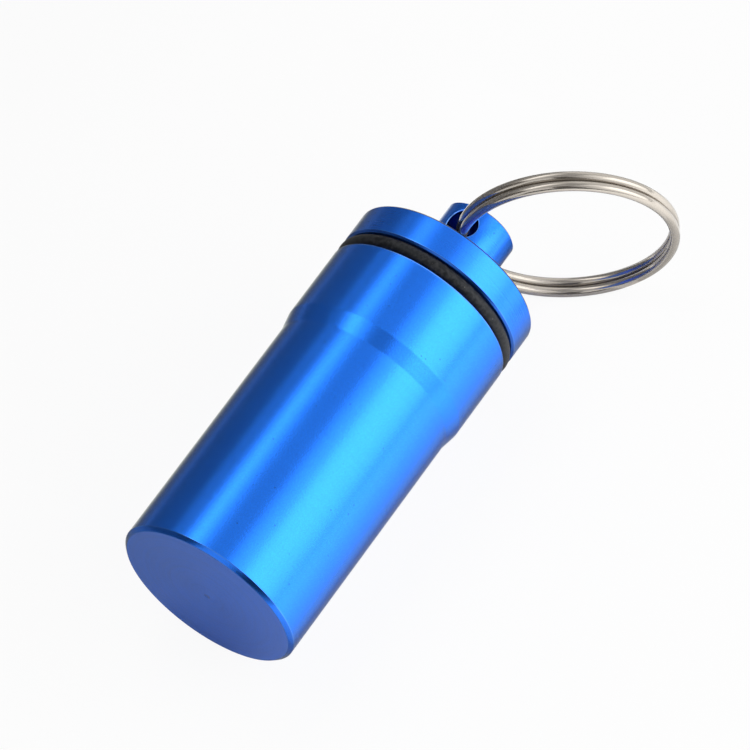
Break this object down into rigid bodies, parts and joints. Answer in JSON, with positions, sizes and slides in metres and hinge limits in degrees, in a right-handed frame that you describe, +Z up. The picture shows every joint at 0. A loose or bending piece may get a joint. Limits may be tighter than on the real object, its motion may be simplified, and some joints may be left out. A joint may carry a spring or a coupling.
{
  "type": "pill fob keychain",
  "caption": "Turned aluminium pill fob: a bored cylinder with a sealed screw cap whose boss carries a wire split ring for keys.",
  "frame": {"origin": "on the table, under the middle of the whole object's outline as it lies on its side", "axes": "+X along the fob's axis from the closed base to the key ring, +Z up from the table, +Y to the left of +X"},
  "size_m": [0.0664, 0.0316, 0.0251],
  "materials": {
    "anodised_blue": "satin anodised, turned",
    "black_rubber": "matt moulded",
    "nickel_wire": "bright nickel plate on spring steel"
  },
  "bodies": {
    "container": {"container": "anodised_blue"},
    "seal": {"seal_ring": "black_rubber"},
    "cap": {"screw_cap": "anodised_blue"},
    "key_ring": {"split_ring": "nickel_wire"}
  },
  "joints": [
    {"name": "cap_lift", "type": "slide", "parent": "container", "child": "seal", "axis": [1, 0, 0], "range_m": [0, 0.007]},
    {"name": "cap_turn", "type": "hinge", "parent": "seal", "child": "cap", "pos_m": [-0.03319, 0.00436, 0.0114], "axis": [1, 0, 0], "range_deg": [0, 2520]},
    {"name": "ring_swing", "type": "hinge", "parent": "cap", "child": "key_ring", "pos_m": [0.0192, 0.00436, 0.0114], "axis": [0, 0.124, 0.9923], "range_deg": [-54, 167]}
  ],
  "couplings": [
    {"joint": "cap_lift", "follows": "cap_turn", "m_per_rad": 0.00015915}
  ]
}
